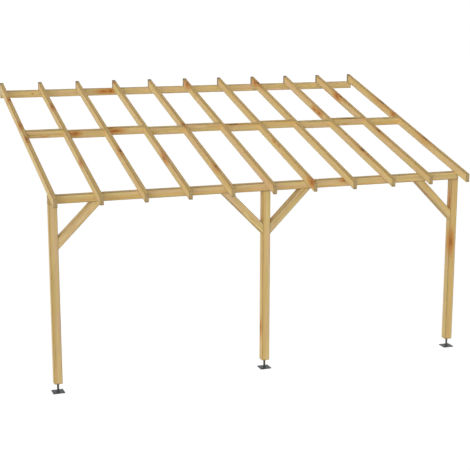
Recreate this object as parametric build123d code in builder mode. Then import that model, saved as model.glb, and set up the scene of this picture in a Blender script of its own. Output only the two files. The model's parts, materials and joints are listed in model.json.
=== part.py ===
from build123d import *
from math import cos, radians, sin, tan
import os

# Lean-to carport: an open timber frame on three posts that leans against a house wall.
#
# Eleven rafters lie on a wall plate, which bolts to the house, and on an eaves beam, which stands on
# three posts with 45 degree braces. Noggings between the rafters keep them upright. They step to and
# fro by their own thickness, so that each one can be screwed straight through its rafters. Each post
# ends above the ground on an adjustable steel foot.
#
# +X runs along the house wall, +Y points into it and +Z is up. The origin is the centre of the wall
# plate's back face, which is where the frame meets the house.

# Driving dimensions, in millimetres and degrees

length = 5000  # wall plate and eaves beam, end to end
reach = 3050  # house wall to the front face of the posts
overhang = 250  # rafters past the front face of the posts
clear_height = 2120  # ground to the underside of the eaves beam
roof_pitch = 16.3

post_width = 90
beam_width = 90
beam_height = 90
wall_plate_width = 45
wall_plate_height = 95  # at its back face; the top follows the roof pitch
arris_width = 3  # bevel along the long edges of planed timber

rafter_count = 11
rafter_width = 45
rafter_height = 95
notch_depth = 15  # plumb depth of the notch at the eaves beam's front face

nogging_width = 45
nogging_height = 95
nogging_line = 1607  # house wall to the line where the noggings step, along the rafters

brace_leg = 500  # along the post and along the beam
brace_height = 90
brace_width = 90

post_lift = 105  # ground to the end grain of the post
plate_width = 130
plate_thickness = 8
plate_corner = 4
anchor_distance = 100
anchor_hole_diameter = 14
rod_diameter = 24
rod_in_post = 120
rod_bevel = 2
weld_leg = 5
thread_clearance = 0.1  # radial, between rod and weld and between rod and nut
bore_clearance = 1  # radial, between rod and post
bore_spare = 15  # bore past the tip of the rod
nut_across_flats = 36
nut_height = 12
nut_bevel = 30  # degrees, from the nut's flat faces
washer_diameter = 44
washer_thickness = 4
washer_clearance = 0.5  # radial, between rod and washer

# Levels and places that follow from them

pitch = radians(roof_pitch)
wall_plate_top = wall_plate_height / 2
eaves_underside = wall_plate_top - reach * tan(pitch)  # of the rafters, at the posts' front faces
eaves_beam_top = eaves_underside + notch_depth
post_top = eaves_beam_top - beam_height
ground = post_top - clear_height
post_end = ground + post_lift

eaves_beam_place = (-reach + beam_width / 2, eaves_beam_top - beam_height / 2)
post_y = -reach + post_width / 2
rafter_tail_y = -reach - overhang

post_places = {
    "left": -length / 2 + post_width / 2,
    "middle": 0,
    "right": length / 2 - post_width / 2,
}
brace_places = {
    "left": ("left", 1),
    "middle_left": ("middle", -1),
    "middle_right": ("middle", 1),
    "right": ("right", -1),
}


def timber_section(width, height):
    """Draw the bevelled cross-section of a planed timber, in the current sketch and place."""
    with BuildSketch(mode=Mode.PRIVATE) as section:
        Rectangle(width, height)
        chamfer(section.vertices(), arris_width)
    add(section.sketch)


def save(builder, name):
    """Label the finished piece and write it as parts/NAME.step."""
    builder.part.label = name
    export_step(builder.part, f"parts/{name}.step")


os.makedirs("parts", exist_ok=True)

# Wall plate: a board on edge, with its top planed to the roof pitch for the rafters to lie on

with BuildPart() as wall_plate:
    with BuildSketch(Plane.YZ.offset(-length / 2)) as plate_section:
        with BuildLine():
            Polyline(
                (0, -wall_plate_height / 2),
                (0, wall_plate_top),
                (-wall_plate_width, wall_plate_top - wall_plate_width * tan(pitch)),
                (-wall_plate_width, -wall_plate_height / 2),
                close=True,
            )
        make_face()
        chamfer(plate_section.vertices(), arris_width)
    extrude(amount=length)
save(wall_plate, "wall_plate")

# Eaves beam: laid level, in one length

with BuildPart() as eaves_beam:
    with BuildSketch(Plane.YZ.offset(-length / 2)):
        with Locations(eaves_beam_place):
            timber_section(beam_width, beam_height)
    extrude(amount=length)
save(eaves_beam, "eaves_beam")

# Posts: each is bored from below for the rod of its foot

rod_bore = rod_diameter / 2 + bore_clearance

for name, post_x in post_places.items():
    with BuildPart() as post:
        with BuildSketch(Plane.XY.offset(post_end)):
            with Locations((post_x, post_y)):
                timber_section(post_width, post_width)
        extrude(amount=post_top - post_end)
        with Locations(Plane(origin=(post_x, post_y, post_end), z_dir=(0, 0, -1))):
            Hole(rod_bore, depth=rod_in_post + bore_spare)
    save(post, f"post_{name}")

# Braces: 45 degree struts, cut square to the post's side and to the beam's underside,
# with their front face in one plane with the post and the beam

brace_y = -reach + brace_width / 2

for name, (post_name, lean) in brace_places.items():
    post_face = post_places[post_name] + lean * post_width / 2
    strut = Vector(lean, 0, 1).normalized()
    inward = Vector(-lean, 0, 1).normalized()
    outer_middle = Vector(post_face + lean * brace_leg / 2, brace_y, post_top - brace_leg / 2)
    section = Plane(origin=outer_middle + inward * (brace_height / 2), x_dir=(0, 1, 0), z_dir=strut)
    with BuildPart() as brace:
        with BuildSketch(section):
            timber_section(brace_width, brace_height)
        extrude(amount=brace_leg, both=True)
        split(bisect_by=Plane(origin=(post_face, 0, 0), z_dir=(lean, 0, 0)), keep=Keep.TOP)
        split(bisect_by=Plane.XY.offset(post_top), keep=Keep.BOTTOM)
    save(brace, f"brace_{name}")

# Rafters: plumb cut at the wall and at the tail, and notched to sit level on the eaves beam

rafter_step = (length - rafter_width) / (rafter_count - 1)
slope = Vector(0, cos(pitch), sin(pitch))
across = Vector(0, -sin(pitch), cos(pitch))
wall_seat = Vector(0, 0, wall_plate_top)
rafter_run = reach + overhang

for number in range(rafter_count):
    rafter_x = -length / 2 + rafter_width / 2 + number * rafter_step
    axis_point = wall_seat + across * (rafter_height / 2) + Vector(rafter_x, 0, 0)
    with BuildPart() as rafter:
        with BuildSketch(Plane(origin=axis_point, x_dir=(1, 0, 0), z_dir=slope)):
            timber_section(rafter_width, rafter_height)
        extrude(amount=rafter_run / cos(pitch) + rafter_height, both=True)
        split(bisect_by=Plane.XZ, keep=Keep.TOP)
        split(bisect_by=Plane.XZ.offset(-rafter_tail_y), keep=Keep.BOTTOM)
        with Locations((rafter_x, *eaves_beam_place)):
            Box(2 * rafter_width, beam_width, beam_height, mode=Mode.SUBTRACT)
    save(rafter, f"rafter_{number + 1}")

# Noggings: cut square between the rafters, flush with their tops, and stepped to and fro

nogging_length = rafter_step - rafter_width
line_rise = rafter_height - nogging_height / 2
axis_offset = rafter_height / 2 * tan(pitch)  # from the seat to the wall end of the rafter's middle line

for number in range(rafter_count - 1):
    nogging_x = -length / 2 + rafter_width + number * rafter_step
    step = nogging_width / 2 if number % 2 == 0 else -nogging_width / 2
    down_slope = nogging_line - step - axis_offset
    nogging_middle = wall_seat - slope * down_slope + across * line_rise + Vector(nogging_x, 0, 0)
    with BuildPart() as nogging:
        with BuildSketch(Plane(origin=nogging_middle, x_dir=slope, z_dir=(1, 0, 0))):
            timber_section(nogging_width, nogging_height)
        extrude(amount=nogging_length)
    save(nogging, f"nogging_{number + 1}")

# Feet: a drilled plate, a rod that is welded onto it, and a nut and washer that carry the post

washer_bottom = post_end - washer_thickness
nut_bottom = washer_bottom - nut_height
rod_bottom = ground + plate_thickness
rod_top = post_end + rod_in_post
rod_passage = rod_diameter / 2 + thread_clearance
nut_flat = nut_across_flats / 2
nut_corner = nut_flat / cos(radians(30))
nut_drop = (nut_corner - nut_flat) * tan(radians(nut_bevel))

for name, foot_x in post_places.items():
    foot_axis = Axis((foot_x, post_y, 0), (0, 0, 1))
    foot_section = Plane(origin=(foot_x, post_y, 0), x_dir=(1, 0, 0), z_dir=(0, -1, 0))

    with BuildPart() as plate:
        with BuildSketch(Plane.XY.offset(ground)):
            with Locations((foot_x, post_y)):
                RectangleRounded(plate_width, plate_width, plate_corner)
                with GridLocations(anchor_distance, anchor_distance, 2, 2):
                    Circle(anchor_hole_diameter / 2, mode=Mode.SUBTRACT)
        extrude(amount=plate_thickness)
        with BuildSketch(foot_section):
            with BuildLine():
                Polyline(
                    (rod_passage, ground + plate_thickness),
                    (rod_passage + weld_leg, ground + plate_thickness),
                    (rod_passage, ground + plate_thickness + weld_leg),
                    close=True,
                )
            make_face()
        revolve(axis=foot_axis)
    save(plate, f"foot_plate_{name}")

    with BuildPart() as rod:
        with BuildSketch(Plane.XY.offset(rod_bottom)):
            with Locations((foot_x, post_y)):
                Circle(rod_diameter / 2)
        extrude(amount=rod_top - rod_bottom)
        chamfer(rod.faces().sort_by(Axis.Z)[-1].edges(), rod_bevel)
    save(rod, f"foot_rod_{name}")

    with BuildPart() as nut:
        with BuildSketch(Plane.XY.offset(nut_bottom)):
            with Locations((foot_x, post_y)):
                RegularPolygon(nut_corner, 6)
        extrude(amount=nut_height)
        with BuildSketch(foot_section):
            with BuildLine():
                Polyline(
                    (0, nut_bottom),
                    (nut_flat, nut_bottom),
                    (nut_corner, nut_bottom + nut_drop),
                    (nut_corner, washer_bottom),
                    (0, washer_bottom),
                    close=True,
                )
            make_face()
        revolve(axis=foot_axis, mode=Mode.INTERSECT)
        with Locations((foot_x, post_y, washer_bottom)):
            Hole(rod_passage)
    save(nut, f"foot_nut_{name}")

    with BuildPart() as washer:
        with BuildSketch(Plane.XY.offset(washer_bottom)):
            with Locations((foot_x, post_y)):
                Circle(washer_diameter / 2)
                Circle(rod_diameter / 2 + washer_clearance, mode=Mode.SUBTRACT)
        extrude(amount=washer_thickness)
    save(washer, f"foot_washer_{name}")

print(f"ground level {ground:.2f}, rafter length {rafter_run / cos(pitch):.0f}")
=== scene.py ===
# %% [markdown]
# # A lean-to carport frame in planed pine
#
# This lesson dresses a measured timber frame: posts on steel feet, an eaves beam, a wall plate,
# rafters and the noggings between them. The timbers already have their true shape, so most of the
# work is in one good pine material that follows every stick along its own grain. Screws, threads
# and welds are small, so they are modelled here.

# %% Load the fixed frame
import json
import math
import random
import bmesh
import bpy
from mathutils import Euler, Matrix, Vector


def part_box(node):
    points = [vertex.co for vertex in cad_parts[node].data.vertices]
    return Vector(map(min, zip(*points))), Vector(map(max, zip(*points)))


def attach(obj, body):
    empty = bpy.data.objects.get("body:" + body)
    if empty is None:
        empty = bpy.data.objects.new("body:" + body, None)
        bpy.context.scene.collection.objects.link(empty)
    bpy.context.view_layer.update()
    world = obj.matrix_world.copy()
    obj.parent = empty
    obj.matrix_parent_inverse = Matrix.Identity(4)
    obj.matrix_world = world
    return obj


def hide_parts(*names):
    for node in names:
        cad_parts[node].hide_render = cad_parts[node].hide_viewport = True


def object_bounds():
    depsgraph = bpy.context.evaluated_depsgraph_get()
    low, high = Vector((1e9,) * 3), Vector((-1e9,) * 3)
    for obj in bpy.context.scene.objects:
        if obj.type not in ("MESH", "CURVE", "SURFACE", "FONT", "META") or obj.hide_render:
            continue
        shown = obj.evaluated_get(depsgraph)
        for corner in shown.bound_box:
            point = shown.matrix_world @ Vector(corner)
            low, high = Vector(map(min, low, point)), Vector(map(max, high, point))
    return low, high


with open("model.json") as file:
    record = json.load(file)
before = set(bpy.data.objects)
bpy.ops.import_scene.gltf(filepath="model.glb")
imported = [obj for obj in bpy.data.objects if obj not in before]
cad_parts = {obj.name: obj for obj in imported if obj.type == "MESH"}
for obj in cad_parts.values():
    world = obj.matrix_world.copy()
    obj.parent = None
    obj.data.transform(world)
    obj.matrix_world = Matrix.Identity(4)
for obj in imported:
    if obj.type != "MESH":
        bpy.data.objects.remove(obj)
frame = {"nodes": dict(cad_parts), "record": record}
cad_low, cad_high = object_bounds()
nodes = frame["nodes"]
print(f"{len(nodes)} nodes, {cad_high.x - cad_low.x:.2f} m wide, {cad_high.z - cad_low.z:.2f} m high")

# %% [markdown]
# ## Where each stick lies
#
# A pattern that runs along the grain needs three facts about a stick: its middle, the way it points
# and its section. Level sticks point along X and posts along Z. Rafters climb towards the wall at the
# roof pitch, which the record states as the direction that the roof face looks, and noggings are
# rolled by the same angle. A brace leans at 45 degrees, and its middle line lies half its own depth
# inside the corner-to-corner line of its box. Its own Z looks inward, to the corner that it braces.

# %% Facts about the sticks
roof_face = next(mount for mount in frame["record"]["mounts"] if mount["name"] == "roof_face")
pitch = math.atan2(-roof_face["axis"][1], roof_face["axis"][2])
ground = cad_low.z
wide_section = (0.090, 0.090)
slim_section = (0.045, 0.095)


def middle(node):
    """The middle of a node's box."""
    low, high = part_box(node)
    return (low + high) / 2


def stick(node):
    """Middle, turn, section, length and end slope of a timber. Its own X runs along the grain."""
    low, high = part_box(node)
    size = high - low
    if node == "eaves_beam":
        return middle(node), (0, 0, 0), wide_section, size.x, 0
    if node == "wall_plate":
        return middle(node), (0, 0, 0), slim_section, size.x, 0
    if node.startswith("nogging"):
        return middle(node), (pitch, 0, 0), slim_section, size.x, 0
    if node.startswith("post"):
        return middle(node), (0, -math.pi / 2, 0), wide_section, size.z, 0
    if node.startswith("rafter"):
        length = size.y / math.cos(pitch)
        return middle(node), (0, -pitch, math.pi / 2), slim_section, length, math.tan(pitch)
    lean = 1 if node in ("brace_left", "brace_middle_right") else -1
    inward = Vector((-lean, 0, 1)).normalized()
    centre = middle(node) + inward * wide_section[1] / 2
    return centre, (0, -lean * math.pi / 4, 0), wide_section, size.x * math.sqrt(2), 0


def own_axes(node):
    """The matrix that takes a stick's own coordinates into the frame."""
    centre, turn = stick(node)[:2]
    return Matrix.Translation(centre) @ Euler(turn).to_matrix().to_4x4()


timbers = [name for name in nodes if not name.startswith("foot")]
print(f"{len(timbers)} timbers, roof pitch {math.degrees(pitch):.1f} degrees")

# %% [markdown]
# ## The camera
#
# The picture was taken from the left, about a metre higher than the roof and fourteen metres away,
# with a long lens. The place and the turn were worked out from the corners of the frame, so the
# camera needs no shift.

# %% Camera
camera_place = Vector((-4.749, -14.844, 1.272))
camera_yaw = math.radians(20.299)
camera_pitch = math.radians(12.014)
camera_roll = math.radians(0.066)
picture_side = 470
focal_pixels = 1132.0

camera = bpy.data.objects.new("camera", bpy.data.cameras.new("camera"))
bpy.context.scene.collection.objects.link(camera)
camera.data.sensor_width = 36
camera.data.lens = focal_pixels / picture_side * camera.data.sensor_width
look = Matrix.Rotation(-camera_yaw, 4, "Z") @ Matrix.Rotation(math.pi / 2 - camera_pitch, 4, "X")
camera.matrix_world = Matrix.Translation(camera_place) @ look @ Matrix.Rotation(camera_roll, 4, "Z")
bpy.context.scene.camera = camera
print(f"lens {camera.data.lens:.1f} mm")

# %% [markdown]
# ## Helpers for shader nodes
#
# Node materials are clearer when one short call adds a node and wires it. `feed` puts a number, a
# vector or another node's output into a socket. `calc` adds a Math node, and the three calls after it
# are the sums that come up most. `smooth` adds a Map Range node with soft ends, which turns any
# distance into a mask.

# %% Numbers in a shader
def feed(tree, socket, value):
    """Wire an output into a socket, or set the socket's own value."""
    if isinstance(value, bpy.types.NodeSocket):
        tree.links.new(value, socket)
    else:
        socket.default_value = value


def calc(tree, operation, *values):
    """One Math node. Gives its output."""
    node = tree.nodes.new("ShaderNodeMath")
    node.operation = operation
    for socket, value in zip(node.inputs, values):
        feed(tree, socket, value)
    return node.outputs[0]


def times(tree, first, second):
    """The product of two numbers."""
    return calc(tree, "MULTIPLY", first, second)


def scaled(tree, value, factor, offset):
    """A number times a factor, plus an offset."""
    return calc(tree, "MULTIPLY_ADD", value, factor, offset)


def swing(tree, value, width):
    """A number from 0 to 1, made to swing about 0 over the given width."""
    return scaled(tree, value, width, -width / 2)


def smooth(tree, value, start, end, low=0.0, high=1.0):
    """A soft step from low to high as value goes from start to end."""
    node = tree.nodes.new("ShaderNodeMapRange")
    node.interpolation_type = "SMOOTHSTEP"
    given = {"Value": value, "From Min": start, "From Max": end, "To Min": low, "To Max": high}
    for name, number in given.items():
        feed(tree, node.inputs[name], number)
    return node.outputs["Result"]


# %% Vectors and colours in a shader
def vector_calc(tree, operation, *values):
    """One Vector Math node. Gives its vector, or its number for a length or a dot product."""
    node = tree.nodes.new("ShaderNodeVectorMath")
    node.operation = operation
    for socket, value in zip(node.inputs, values):
        feed(tree, socket, value)
    return node.outputs["Value" if operation in ("LENGTH", "DOT_PRODUCT") else "Vector"]


def parts_of(tree, vector):
    """The three numbers in a vector."""
    node = tree.nodes.new("ShaderNodeSeparateXYZ")
    feed(tree, node.inputs[0], vector)
    return node.outputs


def vector_of(tree, x, y, z):
    """A vector from three numbers."""
    node = tree.nodes.new("ShaderNodeCombineXYZ")
    for socket, value in zip(node.inputs, (x, y, z)):
        feed(tree, socket, value)
    return node.outputs[0]


def alike(tree, value):
    """A vector or a grey with the same number in all three places."""
    return vector_of(tree, value, value, value)


def noise(tree, vector, stretch, detail=2.0, roughness=0.5):
    """Noise with its own count of lumps a metre along each axis. Gives 0 to 1."""
    node = tree.nodes.new("ShaderNodeTexNoise")
    feed(tree, node.inputs["Vector"], vector_calc(tree, "MULTIPLY", vector, stretch))
    feed(tree, node.inputs["Scale"], 1.0)
    feed(tree, node.inputs["Detail"], detail)
    feed(tree, node.inputs["Roughness"], roughness)
    return node.outputs["Fac"]


def blend(tree, factor, first, second, mode="MIX"):
    """One colour Mix node."""
    node = tree.nodes.new("ShaderNodeMix")
    node.data_type = "RGBA"
    node.blend_type = mode
    feed(tree, node.inputs["Factor"], factor)
    feed(tree, node.inputs["A"], first)
    feed(tree, node.inputs["B"], second)
    return node.outputs["Result"]


screen_gamma = 2.2


def colour(red, green, blue):
    """A colour as a screen shows it, 0 to 255, made linear for the shader."""
    linear = [(part / 255) ** screen_gamma for part in (red, green, blue)]
    return (*linear, 1.0)


# %% [markdown]
# A node group has sockets of its own, made on its interface before anything is wired inside. A
# material starts with a shader, which takes the colour, the roughness and, through a Bump node, the
# relief that the groups work out.

# %% Groups and materials
socket_kinds = {"value": "NodeSocketFloat", "vector": "NodeSocketVector", "colour": "NodeSocketColor"}


def new_group(name, inputs, outputs):
    """A shader node group with named sockets. Gives the group, its inputs by name and its end node."""
    tree = bpy.data.node_groups.new(name, "ShaderNodeTree")
    for label, kind in inputs.items():
        tree.interface.new_socket(label, in_out="INPUT", socket_type=socket_kinds[kind])
    for label, kind in outputs.items():
        tree.interface.new_socket(label, in_out="OUTPUT", socket_type=socket_kinds[kind])
    start = tree.nodes.new("NodeGroupInput")
    end = tree.nodes.new("NodeGroupOutput")
    return tree, start.outputs, end


def place_group(tree, group, **values):
    """Put a group in a tree and feed its inputs. An underscore in a name stands for a space."""
    node = tree.nodes.new("ShaderNodeGroup")
    node.node_tree = group
    for label, value in values.items():
        feed(tree, node.inputs[label.replace("_", " ")], value)
    return node.outputs


def new_material(name):
    """A material that uses nodes. Gives it with its tree and its shader."""
    material = bpy.data.materials.new(name)
    material.use_nodes = True
    tree = material.node_tree
    return material, tree, tree.nodes["Principled BSDF"]


def wire_shader(tree, shader, base_colour, roughness, height):
    """Feed a shader its colour, its roughness and its relief, which is a height in metres."""
    bump = tree.nodes.new("ShaderNodeBump")
    bump.inputs["Distance"].default_value = 1.0
    feed(tree, bump.inputs["Height"], height)
    feed(tree, shader.inputs["Base Color"], base_colour)
    feed(tree, shader.inputs["Roughness"], roughness)
    feed(tree, shader.inputs["Normal"], bump.outputs["Normal"])


# %% [markdown]
# ## Knots
#
# A knot is the root of a branch, so on a planed face it is a dark oval, the grain swerves round it,
# and the wood beside it is soaked with orange resin for a hand's width along the stick. A dark spot
# alone would leave the grain running straight through. So the group takes a place in the stick and
# gives that place back pushed aside, which bends every pattern that is read from it afterwards.
# Several knots are chained this way. The reaches of the knot and of its resin are in radii.

# %% Knot group
core_reach = 1.05
halo_reach = 1.9
halo_shape = (0.32, 0.5, 0.5)
grain_push = 0.62


def make_knot_group():
    """Gives a place pushed aside by one knot, and masks for the knot's wood and its resin."""
    tree, given, end = new_group(
        "knot",
        {"Vector": "vector", "Centre": "vector", "Reach": "vector", "Radius": "value", "Resin": "value"},
        {"Vector": "vector", "Core": "value", "Halo": "value"},
    )
    away = vector_calc(tree, "SUBTRACT", given["Vector"], given["Centre"])
    shaped = vector_calc(tree, "MULTIPLY", away, given["Reach"])
    ragged = swing(tree, noise(tree, given["Vector"], (40, 110, 110), 3.0), 0.7)
    distance = calc(tree, "DIVIDE", vector_calc(tree, "LENGTH", shaped), given["Radius"])
    core = smooth(tree, calc(tree, "ADD", distance, ragged), core_reach, 0.45)
    drawn_out = vector_calc(tree, "MULTIPLY", shaped, halo_shape)
    spread = calc(tree, "DIVIDE", vector_calc(tree, "LENGTH", drawn_out), given["Radius"])
    streaky = swing(tree, noise(tree, given["Vector"], (6, 160, 160), 2.0), 0.9)
    halo = smooth(tree, calc(tree, "ADD", spread, streaky), halo_reach, 0.25)
    swerve = smooth(tree, spread, halo_reach, 0.2)
    push = vector_calc(tree, "MULTIPLY", away, (0, -grain_push, -grain_push))
    shift = vector_calc(tree, "MULTIPLY", push, vector_of(tree, 0, swerve, swerve))
    feed(tree, end.inputs["Vector"], vector_calc(tree, "ADD", given["Vector"], shift))
    feed(tree, end.inputs["Core"], core)
    feed(tree, end.inputs["Halo"], times(tree, halo, given["Resin"]))
    return tree


knot_group = make_knot_group()
print(f"knot group has {len(knot_group.nodes)} nodes")

# %% [markdown]
# ## Growth rings
#
# Wood is a stack of cones about the pith. The group measures how far a point is from a pith line
# that wanders slowly along the stick, and divides by the width of one year. Within a year the pale
# early wood darkens slowly to the late wood and then stops at once. Because this is a field in
# space, the faces get stripes and long arches and the ends get arcs, and they meet at the edges.

# %% Growth ring group
pith_wander = 0.030
ring_ripple = 0.0022


def make_ring_group():
    """Gives the late wood of each year's ring, the year's own shade and the way from the pith."""
    tree, given, end = new_group(
        "growth_rings",
        {"Vector": "vector", "Pith": "vector", "Pith slope": "vector", "Year": "value", "Seed": "value"},
        {"Late wood": "value", "Year tone": "value", "Pith distance": "value", "From pith": "vector"},
    )
    along = parts_of(tree, given["Vector"])["X"]
    drift = vector_calc(tree, "MULTIPLY", given["Pith slope"], alike(tree, along))
    off_start = vector_calc(tree, "SUBTRACT", given["Vector"], given["Pith"])
    from_pith = vector_calc(tree, "SUBTRACT", off_start, drift)
    seeded = vector_calc(tree, "ADD", given["Vector"], vector_of(tree, given["Seed"], given["Seed"], 0.0))
    wander = swing(tree, noise(tree, seeded, (1.1, 6, 6), 3.0), pith_wander)
    ripple = swing(tree, noise(tree, seeded, (5, 60, 60), 2.0), ring_ripple)
    flat = vector_calc(tree, "MULTIPLY", from_pith, (0, 1, 1))
    distance = vector_calc(tree, "LENGTH", flat)
    warped = calc(tree, "ADD", calc(tree, "ADD", distance, wander), ripple)
    years = calc(tree, "DIVIDE", warped, given["Year"])
    season = calc(tree, "FRACT", years)
    darkening = smooth(tree, season, 0.35, 0.88)
    stop = smooth(tree, season, 1.0, 0.93)
    year_noise = tree.nodes.new("ShaderNodeTexWhiteNoise")
    year_noise.noise_dimensions = "1D"
    feed(tree, year_noise.inputs["W"], calc(tree, "ADD", calc(tree, "FLOOR", years), given["Seed"]))
    feed(tree, end.inputs["Late wood"], times(tree, darkening, stop))
    feed(tree, end.inputs["Year tone"], year_noise.outputs["Value"])
    feed(tree, end.inputs["Pith distance"], warped)
    feed(tree, end.inputs["From pith"], flat)
    return tree


ring_group = make_ring_group()
print(f"growth ring group has {len(ring_group.nodes)} nodes")

# %% [markdown]
# ## Drying checks
#
# Timber with its heart inside splits from the bark side towards the pith as it dries. A check is a
# thin plane through the pith, so it shows as a fine line along a face and as a spoke on the end.
# Measuring the angle round the pith and keeping a few narrow angles gives both at once. A face that
# looks sideways from the pith lies along such a plane and doesn't split, so it is left out.

# %% Drying check group
checks_a_radian = 3.5
check_edge = 0.0006
check_middle = 0.0001


def make_check_group():
    tree, given, end = new_group(
        "drying_checks",
        {
            "From pith": "vector", "Own normal": "vector", "Along": "value", "Pith distance": "value",
            "Seed": "value", "End": "value",
        },
        {"Check": "value"},
    )
    parts = parts_of(tree, given["From pith"])
    angle = calc(tree, "ARCTAN2", parts["Y"], parts["Z"])
    along_check = vector_of(tree, given["Along"], given["Pith distance"], given["Seed"])
    waver = noise(tree, along_check, (7, 20, 3), 3.0)
    spokes = calc(tree, "ADD", times(tree, angle, checks_a_radian), times(tree, waver, 0.18))
    nearest = calc(tree, "ABSOLUTE", calc(tree, "SUBTRACT", calc(tree, "FRACT", spokes), 0.5))
    distance = vector_calc(tree, "LENGTH", given["From pith"])
    off_line = times(tree, calc(tree, "DIVIDE", nearest, checks_a_radian), distance)
    line = smooth(tree, off_line, check_edge, check_middle)
    which = calc(tree, "FLOOR", spokes)
    own_place = vector_of(tree, calc(tree, "ADD", given["Along"], given["Seed"]), which, 0.0)
    stretch = noise(tree, own_place, (2.2, 1.7, 1), 1.0)
    outward = vector_calc(tree, "NORMALIZE", given["From pith"])
    facing_pith = calc(tree, "ABSOLUTE", vector_calc(tree, "DOT_PRODUCT", outward, given["Own normal"]))
    splits = times(tree, smooth(tree, stretch, 0.58, 0.70), smooth(tree, facing_pith, 0.5, 0.75))
    present = calc(tree, "MAXIMUM", splits, given["End"])
    off_pith = smooth(tree, distance, 0.006, 0.014)
    feed(tree, end.inputs["Check"], times(tree, times(tree, line, present), off_pith))
    return tree


check_group = make_check_group()
print(f"drying check group has {len(check_group.nodes)} nodes")

# %% [markdown]
# ## Pine, one layer at a time
#
# An image of a plank would repeat and wouldn't meet at the edges, so the pine is worked out from
# the place in the stick. It is built in layers. Each layer is a function that takes the colour so far
# and gives it back changed. First comes clear wood: broad streaks shift the colour from straw to
# pinkish tan, the heart is warmer, late wood draws amber lines, and fibres add fine pale scratches.

# %% Clear wood
straw = colour(237, 211, 144)
pinkish_tan = colour(234, 198, 155)
olive_straw = colour(222, 198, 131)
heart_tan = colour(229, 187, 110)
amber = colour(195, 142, 76)


def clear_wood(tree, given, seeded, rings, fibre):
    """The colour of wood that has no knot, and how much late wood there is."""
    broad = smooth(tree, noise(tree, seeded, (0.9, 34, 34), 2.0), 0.36, 0.62)
    blush = smooth(tree, noise(tree, seeded, (1.6, 52, 52), 2.0), 0.45, 0.68)
    heart = smooth(tree, rings["Pith distance"], calc(tree, "ADD", given["Heart"], 0.006), given["Heart"])
    late = times(tree, rings["Late wood"], scaled(tree, rings["Year tone"], 0.55, 0.30))
    fibre_tone = scaled(tree, fibre, 0.34, 0.83)
    wood = blend(tree, broad, straw, olive_straw)
    wood = blend(tree, blush, wood, pinkish_tan)
    wood = blend(tree, times(tree, heart, 0.5), wood, heart_tan)
    wood = blend(tree, times(tree, late, 0.7), wood, amber)
    wood = blend(tree, 1.0, wood, alike(tree, fibre_tone), "MULTIPLY")
    return wood, late


# %% [markdown]
# The wood round a knot is orange with resin. The knot itself is brown with close rings of its own,
# its rim is darker, and some knots keep dark bark.

# %% Knots in the colour
resin_orange = colour(202, 128, 56)
knot_tan = colour(176, 112, 58)
knot_rim = colour(112, 68, 36)
bark_brown = colour(84, 56, 30)


def stain_knots(tree, given, wood):
    """Add the resin, the knots and their bark."""
    core = given["Core"]
    core_rings = scaled(tree, calc(tree, "SINE", times(tree, core, 16.0)), 0.12, 0.7)
    rim = times(tree, smooth(tree, core, 0.05, 0.35), smooth(tree, core, 0.75, 0.35))
    wood = blend(tree, times(tree, given["Halo"], 0.9), wood, resin_orange)
    wood = blend(tree, times(tree, core, core_rings), wood, knot_tan)
    wood = blend(tree, times(tree, rim, 0.6), wood, knot_rim)
    return blend(tree, given["Bark"], wood, bark_brown)


# %% [markdown]
# Where a stick is cut across, the rings are arcs, the fibres are seen end on as fine pores, and the
# wood is duller.

# %% End grain in the colour
end_tan = colour(211, 186, 135)
# A brown for the end grain's pores, and later for painted shade on the arrises and tops.
pore_and_shade_brown = colour(112, 96, 58)


def show_end_grain(tree, given, seeded, rings, wood):
    """Change to end grain where the stick is cut across."""
    pores = smooth(tree, noise(tree, seeded, (1, 1300, 1300), 1.0), 0.35, 0.65)
    end_wood = blend(tree, times(tree, rings["Late wood"], 0.5), end_tan, amber)
    end_wood = blend(tree, times(tree, pores, 0.18), end_wood, pore_and_shade_brown)
    return blend(tree, given["End grain"], wood, end_wood)


# %% [markdown]
# The arrises get painted shade, the dark that their rounding would catch, and top faces get a trace of
# painted shade, as tops are darker in this light. The sides are darker near the ends, and end grain a
# little darker all over. What is left of half the width, depth or length gives the distance to an edge
# or an end, and a patchy noise makes the darkening reach further in some places. The lower part of an
# end is a little grey, and so are the last few centimetres of a rafter at the wall.

# %% Painted shade, darker ends and grey in the colour
grey_of_ends = colour(96, 90, 78)


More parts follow.
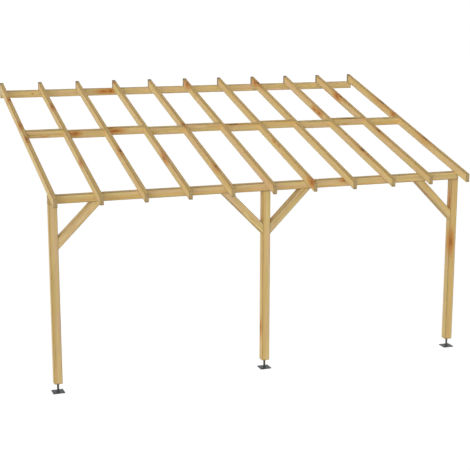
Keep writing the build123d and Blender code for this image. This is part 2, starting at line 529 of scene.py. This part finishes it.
def paint_shade_and_darken_ends(tree, given, seeded, place, wood):
    """Paint shade on the arrises and the tops, darken the ends, and turn the rafters' wall ends grey."""
    across = calc(tree, "SUBTRACT", given["Half width"], calc(tree, "ABSOLUTE", place["Y"]))
    down = calc(tree, "SUBTRACT", given["Half depth"], calc(tree, "ABSOLUTE", place["Z"]))
    to_arris = calc(tree, "MAXIMUM", across, down)
    squared = calc(tree, "SUBTRACT", place["X"], times(tree, place["Z"], given["End slope"]))
    to_end = calc(tree, "SUBTRACT", given["Half length"], calc(tree, "ABSOLUTE", squared))
    to_wall_end = calc(tree, "SUBTRACT", given["Half length"], squared)

    patchy = noise(tree, seeded, (5, 40, 40), 3.0)
    # Painted shade along the arrises, where their rounding would be darker.
    arris = smooth(tree, to_arris, scaled(tree, patchy, 0.012, 0.004), 0.0015)
    near_end = smooth(tree, to_end, scaled(tree, patchy, 0.030, 0.002), 0.0)
    wall_end = smooth(tree, to_wall_end, scaled(tree, patchy, 0.06, 0.045), 0.018)
    on_end = times(tree, given["End grain"], 0.11)
    on_side = times(tree, calc(tree, "SUBTRACT", 1.0, given["End grain"]), 0.42)
    painted_shade_and_end_dark = calc(tree, "MAXIMUM", times(tree, arris, 0.62), times(tree, near_end, on_side))
    # Top faces get a trace of painted shade.
    painted_shade_and_end_dark = calc(tree, "MAXIMUM", painted_shade_and_end_dark, times(tree, given["Upward"], 0.03))
    # The lower part of an end grain face turns a little greyer, darker towards the bottom.
    lower_end_part = times(tree, smooth(tree, place["Z"], 0.0, -0.050), given["End grain"])
    less_on_end_grain = scaled(tree, given["End grain"], -0.55, 1.0)
    wall_grey = times(tree, times(tree, wall_end, given["Wall end"]), less_on_end_grain)

    # One brown carries the painted shade, the darker ends and the duller end grain.
    wood = blend(tree, calc(tree, "MAXIMUM", painted_shade_and_end_dark, on_end), wood, pore_and_shade_brown)
    wood = blend(tree, times(tree, lower_end_part, 0.30), wood, grey_of_ends)
    return blend(tree, wall_grey, wood, grey_of_ends)


# %% [markdown]
# The pine group stacks the layers and adds the checks. Late wood, fibres and knots stand a tenth or
# two of a millimetre proud of planed pine, and a check is a groove a millimetre deep. The group gives
# a colour, a roughness and a height in metres, and the shader itself stays in each material.

# %% Pine group
# The dark inside a check is painted shade in its groove.
check_shade = colour(62, 46, 28)
pine_vectors = ("Vector", "Place", "Own normal", "Pith", "Pith slope")
pine_numbers = (
    "Year", "Seed", "Heart", "Half width", "Half depth", "Half length", "End slope", "End grain",
    "Core", "Halo", "Bark", "Upward", "Wall end", "Tone",
)


def add_masks(tree, total, shares):
    """A number with each mask added to it, times that mask's share."""
    for mask, share in shares:
        total = scaled(tree, mask, share, total)
    return total


def make_pine_group():
    """Gives planed pine's colour, roughness and height at a place in a stick."""
    tree, given, end = new_group(
        "pine",
        dict.fromkeys(pine_vectors, "vector") | dict.fromkeys(pine_numbers, "value"),
        {"Color": "colour", "Roughness": "value", "Height": "value"},
    )
    place = parts_of(tree, given["Place"])
    seeded = vector_calc(tree, "ADD", given["Vector"], alike(tree, given["Seed"]))
    fibre = noise(tree, seeded, (9, 520, 520), 3.0, 0.6)
    fine = noise(tree, seeded, (30, 1900, 1900), 2.0, 0.6)
    rings = place_group(tree, ring_group, Vector=given["Vector"], Pith=given["Pith"],
                        Pith_slope=given["Pith slope"], Year=given["Year"], Seed=given["Seed"])
    checks = place_group(tree, check_group, From_pith=rings["From pith"], Own_normal=given["Own normal"],
                         Along=place["X"], Pith_distance=rings["Pith distance"], Seed=given["Seed"],
                         End=given["End grain"])["Check"]

    wood, late = clear_wood(tree, given, seeded, rings, fibre)
    wood = stain_knots(tree, given, wood)
    wood = show_end_grain(tree, given, seeded, rings, wood)
    wood = paint_shade_and_darken_ends(tree, given, seeded, place, wood)
    shade = calc(tree, "POWER", given["Tone"], screen_gamma)
    wood = blend(tree, 1.0, wood, alike(tree, shade), "MULTIPLY")
    # Painted shade fills each check's groove.
    wood = blend(tree, times(tree, checks, 0.85), wood, check_shade)

    rough = add_masks(tree, 0.52, ((fibre, 0.16), (late, -0.08), (given["End grain"], 0.14)))
    proud = ((late, 0.00012), (fibre, 0.00016), (fine, 0.00005), (checks, -0.0012), (given["Core"], 0.0002))
    feed(tree, end.inputs["Color"], wood)
    feed(tree, end.inputs["Roughness"], rough)
    feed(tree, end.inputs["Height"], add_masks(tree, 0.0, proud))
    return tree


pine_group = make_pine_group()
print(f"pine group has {len(pine_group.nodes)} nodes")

# %% [markdown]
# ## Knots where the picture shows them
#
# The knots that show are listed by stick, each with its distance along the stick and its place in
# the section, in metres. Rafter distances run down the slope from the wall, post heights are from
# the ground and the rest are from the stick's middle. After the radius come two numbers that may be
# left out: how far the knot is drawn out along the stick, as one that was cut lengthwise is, and how
# much bark it kept. A few sticks are a little darker than the rest.

# %% Knots that show
slim_left = slim_section[0] / 2
slim_front = -slim_section[0] / 2
slim_top = slim_section[1] / 2
wide_front = -wide_section[0] / 2
wide_top = wide_section[1] / 2
seen_knots = {
    "rafter_1": [(0.58, -0.010, slim_top, 0.019, 1.0, 0.7), (1.43, slim_left, 0.040, 0.012, 2.4, 0.3),
                 (1.84, slim_left, 0.044, 0.013, 1.8, 0.4)],
    "rafter_2": [(0.86, slim_left, 0.042, 0.013, 2.0, 0.3), (2.52, slim_left, 0.020, 0.014, 1.8, 0.1)],
    "rafter_3": [(2.29, 0.000, slim_top, 0.012, 2.8, 1.0)],
    "rafter_4": [(0.05, slim_left, 0.034, 0.010, 1.3, 0.3), (2.47, slim_left, 0.012, 0.018, 2.0, 0.3),
                 (2.42, slim_left, slim_top, 0.007, 4.0, 0.5)],
    "rafter_5": [(1.59, 0.008, slim_top, 0.014, 1.4, 0.8), (2.85, 0.014, slim_top, 0.010, 3.0, 0.6)],
    "rafter_6": [(0.18, slim_left, 0.022, 0.019, 1.5, 0.3)],
    "rafter_7": [(2.19, slim_left, 0.026, 0.007, 2.2), (2.33, slim_left, 0.031, 0.006, 1.8),
                 (3.37, slim_left, 0.026, 0.022, 1.3, 0.2)],
    "rafter_8": [(0.17, slim_left, 0.024, 0.020, 1.2, 0.2), (0.23, slim_left, slim_top, 0.015, 3.2, 0.75)],
    "rafter_9": [(1.14, slim_left, 0.000, 0.015, 1.5), (1.285, slim_left, 0.008, 0.017, 1.4, 0.2),
                 (2.59, slim_left, slim_top, 0.012, 5.0, 0.75)],
    "rafter_10": [(0.75, slim_left, 0.020, 0.024, 1.2, 0.1), (0.82, slim_left, slim_top, 0.013, 5.0, 0.9),
                  (2.04, slim_left, slim_top, 0.011, 5.0, 0.8)],
    "rafter_11": [(1.09, 0.000, slim_top, 0.015, 4.5, 1.0), (1.48, slim_left, 0.024, 0.016, 1.3, 0.1),
                  (2.35, 0.004, slim_top, 0.013, 4.0, 0.8)],
    "wall_plate": [(-2.09, slim_front, 0.000, 0.004), (-1.14, slim_front, 0.006, 0.015, 1.8),
                   (-1.045, slim_front, 0.006, 0.014, 1.3, 0.2)],
    "nogging_2": [(-0.140, slim_front, 0.012, 0.017)],
    "nogging_3": [(-0.140, slim_front, 0.008, 0.016, 1.8), (-0.185, slim_front, 0.040, 0.009, 2.0, 0.6)],
    "nogging_6": [(-0.125, slim_front, slim_top, 0.009, 8.0, 1.0)],
    "nogging_9": [(0.000, slim_front, slim_top, 0.009, 13.0, 0.8)],
    "eaves_beam": [(0.98, wide_front, 0.024, 0.010, 1.8, 0.4)],
    "post_middle": [(0.50, 0.004, wide_top, 0.012, 2.4, 0.2)],
    "post_right": [(1.345, wide_front, 0.022, 0.016, 2.4, 0.1), (1.86, -0.012, wide_top, 0.010, 3.2)],
    "brace_right": [(-0.16, -0.010, -wide_top, 0.012, 5.0, 0.3), (0.10, 0.010, -wide_top, 0.010, 5.0, 0.1)],
}
darker_sticks = {"post_left": 0.97, "post_right": 0.98, "brace_middle_right": 0.95}
print(f"{sum(len(knots) for knots in seen_knots.values())} knots show")

# %% [markdown]
# A knot runs on into the wood, so on a side it is drawn out across the stick, and on the top or the
# bottom it is drawn out in depth. The far sides get a few small knots of their own from a seeded
# random draw, as a real stick would have one every half metre or so.

# %% Every knot in a stick
along_grain = 0.8
into_wood = 0.45
full_resin = 2.4


def listed_knot(node, length, half_width, along, across, down, radius, stretch=1.0, bark=0.0):
    """Centre, reach, radius, resin and bark of a knot that shows, in the stick's own axes."""
    if node.startswith("rafter"):
        along = length / 2 - along
    elif node.startswith("post"):
        along += ground - middle(node).z
    reach = (along_grain / stretch, 1.0, into_wood)
    if abs(across) >= half_width - 0.001:
        reach = (along_grain / stretch, into_wood, 1.0)
    return (along, across, down), reach, radius, min(1.0, full_resin / stretch), bark


def drawn_knots(node, length, half_width, half_depth, luck):
    """The same five facts of two small knots, one on the far side and one underneath."""
    far_side = -half_width if node.startswith("rafter") else half_width
    centre = (luck.uniform(-0.45, 0.45) * length, far_side, luck.uniform(-0.7, 0.5) * half_depth)
    behind = (centre, (along_grain, 1.3, 1.0), luck.uniform(0.007, 0.013), 0.7, 0.0)
    centre = (luck.uniform(-0.45, 0.45) * length, luck.uniform(-0.5, 0.5) * half_width, -half_depth)
    below = (centre, (along_grain, 1.0, 0.7), luck.uniform(0.007, 0.013), 0.7, 0.0)
    return [behind, below]


def knots_of(node, length, half_width, half_depth, luck):
    """Every knot in a stick."""
    listed = [listed_knot(node, length, half_width, *knot) for knot in seen_knots.get(node, [])]
    return listed + drawn_knots(node, length, half_width, half_depth, luck)


# %% [markdown]
# ## A material for each stick
#
# A Mapping node set to Texture undoes a stick's turn and place, so the same group reads every stick
# along its own grain. A second one turns the surface's direction the same way, and where it then
# points along X, the surface is end grain.

# %% A stick's own coordinates
def in_own_axes(tree, vector, turn, centre=(0, 0, 0)):
    """A vector of the frame, moved and turned into a stick's own axes."""
    mapping = tree.nodes.new("ShaderNodeMapping")
    mapping.vector_type = "TEXTURE"
    feed(tree, mapping.inputs["Vector"], vector)
    mapping.inputs["Location"].default_value = centre
    mapping.inputs["Rotation"].default_value = turn
    return mapping.outputs["Vector"]


def chain_knots(tree, place, knots):
    """A place pushed aside by every knot in turn, with masks for their wood, resin and bark."""
    found = {"Vector": place, "Core": 0.0, "Halo": 0.0, "Bark": 0.0}
    for centre, reach, radius, resin, kept_bark in knots:
        knot = place_group(tree, knot_group, Vector=found["Vector"], Centre=centre, Reach=reach,
                           Radius=radius, Resin=resin)
        bark = times(tree, knot["Core"], kept_bark)
        found["Vector"] = knot["Vector"]
        found["Core"] = calc(tree, "MAXIMUM", knot["Core"], found["Core"])
        found["Halo"] = calc(tree, "MAXIMUM", knot["Halo"], found["Halo"])
        found["Bark"] = calc(tree, "MAXIMUM", bark, found["Bark"])
    return found


# %% [markdown]
# Every stick grew in its own way, so where its pith lies and how wide its years are come from a
# seeded draw. Rafters are laid with their heart side up, so the upper part of each is the warmer one.
# The right post shows its heart as a warm stripe on its front, so its pith is given.

# %% How a stick grew
def growth(node, luck):
    """A stick's pith, the pith's slope, the width of a year, a seed and the heart's radius."""
    angle = luck.uniform(0, 2 * math.pi)
    offset = luck.uniform(0.015, 0.075)
    pith = (0, offset * math.cos(angle), offset * math.sin(angle))
    pith_slope = (0, luck.uniform(-0.012, 0.012), luck.uniform(-0.012, 0.012))
    year = luck.uniform(0.0030, 0.0048)
    seed = luck.uniform(0, 40)
    heart = luck.uniform(0.01, 0.04)
    if node.startswith("rafter"):
        pith = (0, luck.uniform(-0.02, 0.02), luck.uniform(0.050, 0.060))
        pith_slope = (0, pith_slope[1], 0)
        heart = pith[2] + luck.uniform(-0.012, 0.004)
    elif node == "post_right":
        pith = (0, -0.055, 0.010)
        pith_slope = (0, 0, 0)
        heart = 0.031
    return {"Pith": pith, "Pith_slope": pith_slope, "Year": year, "Seed": seed, "Heart": heart}


# %% [markdown]
# Noggings and braces butt against other sticks, so their ends are not darkened: the darkening near the
# ends is told that they are a little longer than they are. Only rafters reach the wall, so only they get
# its grey.

# %% Timber material
hidden_end = 0.05
wall_end_grey = 0.8


def timber_material(node):
    """Pine for one stick."""
    centre, turn, section, length, end_slope = stick(node)
    half_width = section[0] / 2
    half_depth = section[1] / 2
    luck = random.Random(node)
    knots = knots_of(node, length, half_width, half_depth, luck)

    material, tree, shader = new_material("pine_" + node)
    coordinates = tree.nodes.new("ShaderNodeTexCoord").outputs
    place = in_own_axes(tree, coordinates["Object"], turn, centre)
    own_normal = in_own_axes(tree, coordinates["Normal"], turn)
    end_facing = calc(tree, "ABSOLUTE", parts_of(tree, own_normal)["X"])
    facing_up = parts_of(tree, coordinates["Normal"])["Z"]
    half_length = length / 2
    if node.startswith(("nogging", "brace")):
        half_length += hidden_end

    # Upward marks the top faces, which get a trace of painted shade.
    pine = place_group(
        tree, pine_group, **chain_knots(tree, place, knots), **growth(node, luck), Place=place,
        Own_normal=own_normal, Half_width=half_width, Half_depth=half_depth, Half_length=half_length,
        End_slope=end_slope, End_grain=smooth(tree, end_facing, 0.5, 0.62),
        Upward=smooth(tree, facing_up, 0.6, 0.9), Tone=darker_sticks.get(node, 1.0),
        Wall_end=wall_end_grey if node.startswith("rafter") else 0.0,
    )
    wire_shader(tree, shader, pine["Color"], pine["Roughness"], pine["Height"])
    shader.inputs["Specular IOR Level"].default_value = 0.25
    return material


def dress(node, material):
    """Give a CAD node one material in every slot."""
    slots = nodes[node].data.materials
    slots.clear()
    slots.append(material)


for timber in timbers:
    dress(timber, timber_material(timber))
print(f"{len(timbers)} timbers dressed")

# %% [markdown]
# ## Steel
#
# The foot is dull grey steel. Its plate has a faint mottle from the zinc bath, which Voronoi cells
# give at the size of the zinc's crystals. The rod and the nut are a little brighter, and the screws
# have the yellow zinc coat that wood screws often have. Metal in a white room looks pale, so the base
# colours are dark.

# %% Steel materials
def steel_material(name, dark, light, roughness, mottle_size):
    """Mottled steel, from its darkest and palest colour and the size of a spot in metres."""
    material, tree, shader = new_material(name)
    place = tree.nodes.new("ShaderNodeTexCoord").outputs["Object"]
    cells = tree.nodes.new("ShaderNodeTexVoronoi")
    feed(tree, cells.inputs["Vector"], place)
    cells.inputs["Scale"].default_value = 1 / mottle_size
    grey = parts_of(tree, cells.outputs["Color"])["X"]
    cloud = noise(tree, place, (45, 45, 45), 4.0)
    mottle = scaled(tree, grey, 0.45, times(tree, smooth(tree, cloud, 0.3, 0.7), 0.55))
    pits = times(tree, noise(tree, place, (700, 700, 700), 3.0), 0.0001)
    wire_shader(tree, shader, blend(tree, mottle, dark, light), scaled(tree, cloud, 0.25, roughness), pits)
    shader.inputs["Metallic"].default_value = 0.85
    return material


plate_steel = steel_material("plate_steel", colour(60, 63, 65), colour(102, 106, 108), 0.38, 0.006)
bolt_steel = steel_material("bolt_steel", colour(78, 74, 66), colour(120, 116, 108), 0.30, 0.002)
screw_steel = steel_material("screw_steel", colour(166, 140, 78), colour(214, 194, 128), 0.22, 0.0015)
feet = [name for name in nodes if name.startswith("foot")]
for node in feet:
    dress(node, plate_steel if node.startswith("foot_plate") else bolt_steel)
print(f"{len(feet)} steel pieces dressed")

# %% [markdown]
# ## Turning bmesh work into pieces
#
# Every new piece is built in the frame's own coordinates, is shaded smooth only where it is round,
# rides on the frame and takes its finish from one of the materials.

# %% Piece helpers
def mesh_from(name, shape):
    """A mesh with what a bmesh holds. The bmesh is freed."""
    mesh = bpy.data.meshes.new(name)
    shape.to_mesh(mesh)
    shape.free()
    return mesh


def make_piece(name, shape, material, smooth_angle=30):
    """A new object from a bmesh, with its normals outward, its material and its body."""
    bmesh.ops.recalc_face_normals(shape, faces=shape.faces[:])
    for face in shape.faces:
        face.smooth = True
    for edge in shape.edges:
        edge.smooth = edge.is_manifold and edge.calc_face_angle() < math.radians(smooth_angle)
    mesh = mesh_from(name, shape)
    mesh.materials.append(material)
    piece = bpy.data.objects.new(name, mesh)
    bpy.context.scene.collection.objects.link(piece)
    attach(piece, "root")
    print(f"{name}: {len(mesh.polygons)} faces")
    return piece


def copies(mesh, places):
    """One bmesh with a copy of a mesh at every place. A place is a matrix."""
    shape = bmesh.new()
    for place in places:
        count = len(shape.verts)
        shape.from_mesh(mesh)
        bmesh.ops.transform(shape, matrix=place, verts=shape.verts[count:])
    return shape


# %% [markdown]
# ## One screw head
#
# A timber screw ends in a thin wide flange under a low round button with a six-lobed socket. Three
# rings of an 18-sided disc are enough: the flange is extruded, the button is inset and raised, the
# rims are bevelled, and the socket's outline is pulled in at every third corner and sunk. The sizes
# are shares of the head's radius, so one function makes slim and stout heads.

# %% Screw head
head_sides = 18
corners_a_lobe = 3
flange_height = 0.14
flange_bevel = 0.06
button_inset = 0.30
button_height = 0.16
button_bevel = 0.11
socket_inset = 0.16
lobe_depth = 0.70
socket_depth = 0.26


def raise_face(shape, face, height):
    """Extrude one face straight up. Gives the face at the new height."""
    raised = bmesh.ops.extrude_face_region(shape, geom=[face])["geom"]
    bmesh.ops.delete(shape, geom=[face], context="FACES")
    top = next(item for item in raised if isinstance(item, bmesh.types.BMFace))
    bmesh.ops.translate(shape, verts=top.verts[:], vec=(0, 0, height))
    return top


def soften_rim(shape, face, width, segments):
    """Bevel the rim of the top face. Gives what is left of that face."""
    bmesh.ops.bevel(shape, geom=face.edges[:], affect="EDGES", offset=width, segments=segments,
                    profile=0.5, material=-1)
    return max(shape.faces, key=lambda each: (each.calc_center_median().z, each.calc_area()))


def screw_head(radius):
    """A screw head that stands on z = 0, as a mesh to copy."""
    shape = bmesh.new()
    bmesh.ops.create_circle(shape, cap_ends=True, segments=head_sides, radius=radius)
    top = raise_face(shape, shape.faces[:][0], radius * flange_height)
    top = soften_rim(shape, top, radius * flange_bevel, 1)
    bmesh.ops.inset_individual(shape, faces=[top], thickness=radius * button_inset)
    top = raise_face(shape, top, radius * button_height)
    top = soften_rim(shape, top, radius * button_bevel, 2)
    bmesh.ops.inset_individual(shape, faces=[top], thickness=radius * socket_inset)
    for corner in top.verts[:][::corners_a_lobe]:
        corner.co.xy *= lobe_depth
    raise_face(shape, top, -radius * socket_depth)
    return mesh_from("screw_head", shape)


slim_head = screw_head(0.007)
stout_head = screw_head(0.010)
print(f"{len(slim_head.polygons)} faces a screw head")

# %% [markdown]
# ## Where the screws go
#
# A screw is placed in a stick's own axes: how far along, then across and up in the section, and the
# face that its head lies on. Each rafter has one screw down into the eaves beam and one into the
# wall plate.

# %% Rafter screws
def on_face(node, point, outward):
    """The place of a head on a stick's face, given in the stick's own axes. Its Z looks out of the wood."""
    turn = Vector(outward).to_track_quat("Z", "Y").to_matrix().to_4x4()
    return own_axes(node) @ Matrix.Translation(point) @ turn


rafters = sorted((name for name in nodes if name.startswith("rafter")), key=lambda name: middle(name).x)
beam_y = middle("eaves_beam").y
plate_y = middle("wall_plate").y


def along_rafter(y):
    """How far along a rafter's own axis its top face crosses the upright plane at y."""
    return (y - middle(rafters[0]).y + slim_top * math.sin(pitch)) / math.cos(pitch)


rafter_places = [on_face(rafter, (along_rafter(y), 0, slim_top), (0, 0, 1))
                 for rafter in rafters for y in (beam_y, plate_y)]
make_piece("rafter_screws", copies(slim_head, rafter_places), screw_steel)

# %% [markdown]
# Each nogging has two screws in either end, and the step between neighbours leaves room for their
# heads on the far side of the rafter.

# %% Nogging screws
noggings = sorted((name for name in nodes if name.startswith("nogging")), key=lambda name: middle(name).x)
screw_spread = 0.024
nogging_places = []
for left_rafter, nogging, right_rafter in zip(rafters, noggings, rafters[1:]):
    own = own_axes(left_rafter).inverted() @ middle(nogging)
    for rafter, side in ((left_rafter, 1), (right_rafter, -1)):
        for up in (-screw_spread, screw_spread):
            nogging_places.append(on_face(rafter, (own.x, side * slim_left, up), (0, side, 0)))
make_piece("nogging_screws", copies(slim_head, nogging_places), screw_steel)

# %% [markdown]
# Braces have two stout screws at each tip, driven from their outer side, half the brace's width
# apart.

# %% Brace screws
tip_distance = 0.060
tip_spread = wide_section[0] / 4
brace_places = []
for brace in [name for name in nodes if name.startswith("brace")]:
    length = stick(brace)[3]
    for end in (-1, 1):
        for across in (-tip_spread, tip_spread):
            point = (end * (length / 2 - tip_distance), across, -wide_top)
            brace_places.append(on_face(brace, point, (0, 0, -1)))
make_piece("brace_screws", copies(stout_head, brace_places), screw_steel)

# %% [markdown]
# The eaves beam has two over each post. The outer rafters cover half of the end posts, so there they
# stand one behind the other, and at the middle post they stand on either side of the rafter.

# %% Eaves beam screws
beam_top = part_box("eaves_beam")[1].z
end_inset = 0.027
end_spread = 0.022
middle_spread = 0.033
left_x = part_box("post_left")[1].x - end_inset
right_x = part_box("post_right")[0].x + end_inset
beam_screws = [
    (left_x, beam_y - end_spread), (left_x, beam_y + end_spread), (-middle_spread, beam_y),
    (middle_spread, beam_y), (right_x, beam_y - end_spread), (right_x, beam_y + end_spread),
]
beam_places = [Matrix.Translation((*place, beam_top)) for place in beam_screws]
make_piece("eaves_beam_screws", copies(slim_head, beam_places), screw_steel)

# %% [markdown]
# ## Threaded rods
#
# A thread is one tooth of its profile carried round and up: `spin` turns it and lifts it by a small
# part of the pitch at each step. One turn is copied up the rod, each copy a pitch above the last.
# Every turn ends where the next begins, so merging the doubled points closes the skin. There are
# spare turns below and above, because two cuts square off the ends, which are then capped.

# %% One turn of thread
thread_pitch = 0.003
thread_steps = 24
crest_radius = 0.012
root_radius = 0.0102
tooth = [(root_radius, 0), (root_radius, 0.2), (crest_radius, 0.52), (crest_radius, 0.68), (root_radius, 1)]


def one_turn():
    """One turn of the thread about the Z axis, as a mesh to copy."""
    shape = bmesh.new()
    corners = [shape.verts.new((radius, 0, part * thread_pitch)) for radius, part in tooth]
    profile = [shape.edges.new(pair) for pair in zip(corners, corners[1:])]
    bmesh.ops.spin(shape, geom=corners + profile, axis=(0, 0, 1), angle=2 * math.pi, steps=thread_steps,
                   dvec=(0, 0, thread_pitch / thread_steps), use_duplicate=False)
    return mesh_from("one_turn", shape)


thread_turn = one_turn()
print(f"{len(thread_turn.polygons)} faces a turn")

# %% Threaded rod
spare_below = 2
spare_above = 1
merge_distance = 0.00001


def threaded_rod(centre, bottom, top):
    """A threaded rod about a vertical line through centre."""
    turns = spare_below + math.ceil((top - bottom) / thread_pitch) + spare_above
    heights = [bottom + (number - spare_below) * thread_pitch for number in range(turns)]
    shape = copies(thread_turn, [Matrix.Translation((centre.x, centre.y, height)) for height in heights])
    bmesh.ops.remove_doubles(shape, verts=shape.verts[:], dist=merge_distance)
    for height, up in ((bottom, -1), (top, 1)):
        everything = shape.verts[:] + shape.edges[:] + shape.faces[:]
        bmesh.ops.bisect_plane(shape, geom=everything, plane_co=(centre.x, centre.y, height),
                               plane_no=(0, 0, up), clear_outer=True)
        rim = [edge for edge in shape.edges if edge.is_boundary
               and all(abs(corner.co.z - height) < merge_distance for corner in edge.verts)]
        bmesh.ops.contextual_create(shape, geom=rim)
    return shape


# %% [markdown]
# ## Weld beads
#
# The rod is welded to its plate. A bead laid by hand is a string of overlapping puddles, so a ring
# is spun from a small circle, and every slice is grown or shrunk a little by a rippling number. What
# would reach below the plate's top is flattened just inside the plate.

# %% Weld bead
bead_ring = 0.0134
bead_radius = 0.0046
bead_height = 0.0092
bead_floor = 0.006
bead_sides = 10
ripples = 28
slices_a_ripple = 4
ripple_share = 0.07
uneven_share = 0.05
uneven_waves = 3
most_swell = 1.09


def weld_bead(centre, luck):
    """A rippled ring round a rod, that lies in the corner between the rod and its plate."""
    shape = bmesh.new()
    ring_centre = Vector((centre.x, centre.y, ground + bead_height))
    first_slice = Matrix.Translation(ring_centre + Vector((bead_ring, 0, 0)))
    start = first_slice @ Matrix.Rotation(math.pi / 2, 4, "X")
    circle = bmesh.ops.create_circle(shape, segments=bead_sides, radius=bead_radius, matrix=start)
    bmesh.ops.spin(shape, geom=circle["verts"] + shape.edges[:], cent=centre, axis=(0, 0, 1),
                   angle=2 * math.pi, steps=ripples * slices_a_ripple, use_merge=True)
    phase = luck.uniform(0, 6)
    for corner in shape.verts:
        out = Vector((corner.co.x - centre.x, corner.co.y - centre.y, 0))
        angle = math.atan2(out.y, out.x)
        swell = 1 + ripple_share * math.sin(ripples * angle)
        swell += uneven_share * math.sin(uneven_waves * angle + phase)
        ring_point = ring_centre + out.normalized() * bead_ring
        corner.co = ring_point + (corner.co - ring_point) * min(swell, most_swell)
        corner.co.z = max(corner.co.z, ground + bead_floor)
    return shape


# %% [markdown]
# Each foot gets its thread and its weld. The threaded rod stands for the plain one, which is hidden
# but stays in the measured frame.

# %% Build the feet's threads and welds
for side in ("left", "middle", "right"):
    low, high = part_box(f"foot_rod_{side}")
    centre = middle(f"foot_rod_{side}")
    axis_point = Vector((centre.x, centre.y, 0))
    thread = threaded_rod(axis_point, low.z, high.z)
    rod = make_piece(f"threaded_rod_{side}", thread, bolt_steel, 40)
    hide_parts(f"foot_rod_{side}")
    make_piece(f"weld_{side}", weld_bead(axis_point, random.Random(side)), plate_steel, 50)

# %% [markdown]
# ## Floor, world and light
#
# The picture has a white ground with no horizon. A Light Path node lets the floor show white to the
# camera and to reflections, with a trace of shadow left in it, while the light that it throws back
# on the wood is that of plain pale grey.

# %% Floor
def seen_directly(tree):
    """1 for rays from the camera, from gloss and through glass, and 0 for diffuse light."""
    path = tree.nodes.new("ShaderNodeLightPath").outputs
    gloss_or_glass = calc(tree, "MAXIMUM", path["Is Glossy Ray"], path["Is Transmission Ray"])
    return calc(tree, "MAXIMUM", path["Is Camera Ray"], gloss_or_glass)


floor_half = 60.0
floor_grey = 0.85
shown_albedo = 0.22
shown_glow = 0.92
shape = bmesh.new()
bmesh.ops.create_grid(shape, x_segments=1, y_segments=1, size=floor_half)
bmesh.ops.translate(shape, verts=shape.verts, vec=(0, 0, ground))
floor = bpy.data.objects.new("floor", mesh_from("floor", shape))
bpy.context.scene.collection.objects.link(floor)
print(f"floor {2 * floor_half:.0f} m across")

# %% Floor material
floor_material = bpy.data.materials.new("floor")
floor_material.use_nodes = True
tree = floor_material.node_tree
tree.nodes.clear()
matt = tree.nodes.new("ShaderNodeBsdfDiffuse")
matt.inputs["Color"].default_value = (floor_grey, floor_grey, floor_grey, 1)
shown = tree.nodes.new("ShaderNodeBsdfDiffuse")
shown.inputs["Color"].default_value = (shown_albedo, shown_albedo, shown_albedo, 1)
glow = tree.nodes.new("ShaderNodeEmission")
glow.inputs["Strength"].default_value = shown_glow
both = tree.nodes.new("ShaderNodeAddShader")
pick = tree.nodes.new("ShaderNodeMixShader")
output = tree.nodes.new("ShaderNodeOutputMaterial")
feed(tree, both.inputs[0], shown.outputs[0])
feed(tree, both.inputs[1], glow.outputs[0])
feed(tree, pick.inputs[0], seen_directly(tree))
feed(tree, pick.inputs[1], matt.outputs[0])
feed(tree, pick.inputs[2], both.outputs[0])
feed(tree, output.inputs["Surface"], pick.outputs[0])
floor.data.materials.append(floor_material)

# %% [markdown]
# The world does the same: pure white where it is seen, and softer where it lights the wood. It is
# brighter at the horizon than overhead, so the top faces are darker than the sides, as in the
# picture.

# %% World
horizon_light = 0.58
zenith_light = 0.0
world = bpy.data.worlds.new("world")
bpy.context.scene.world = world
world.use_nodes = True
tree = world.node_tree
background = tree.nodes["Background"]
height = parts_of(tree, tree.nodes.new("ShaderNodeTexCoord").outputs["Generated"])["Z"]
soft_sky = smooth(tree, height, 0.0, 0.7, horizon_light, zenith_light)
direct = seen_directly(tree)
strength = calc(tree, "ADD", times(tree, soft_sky, calc(tree, "SUBTRACT", 1.0, direct)), direct)
background.inputs["Color"].default_value = (1, 1, 1, 1)
feed(tree, background.inputs["Strength"], strength)
print(f"world light {horizon_light} at the horizon and {zenith_light} overhead")

# %% [markdown]
# Two very broad lamps stand low on the left and in front, so the left sides are the palest, as in
# the picture. A third lamp lights the back and the right sides, which the picture doesn't show. It
# stands opposite the camera, so it is hidden from gloss, or else the foot plates would shine.

# %% Lamps
def soft_sun(name, towards, strength, angle):
    """A sun lamp that shines from the given direction, with a broad soft disc."""
    lamp = bpy.data.objects.new(name, bpy.data.lights.new(name, "SUN"))
    lamp.data.energy = strength
    lamp.data.angle = math.radians(angle)
    lamp.rotation_mode = "QUATERNION"
    lamp.rotation_quaternion = Vector(towards).to_track_quat("Z", "Y")
    bpy.context.scene.collection.objects.link(lamp)
    return lamp


soft_sun("left", (-0.80, -0.52, 0.28), 2.36, 80)
soft_sun("front", (-0.10, -1.00, 0.20), 0.63, 70)
back_lamp = soft_sun("back", (0.62, 0.76, 0.12), 1.8, 40)
back_lamp.visible_glossy = False
bpy.context.scene.view_settings.view_transform = "Standard"
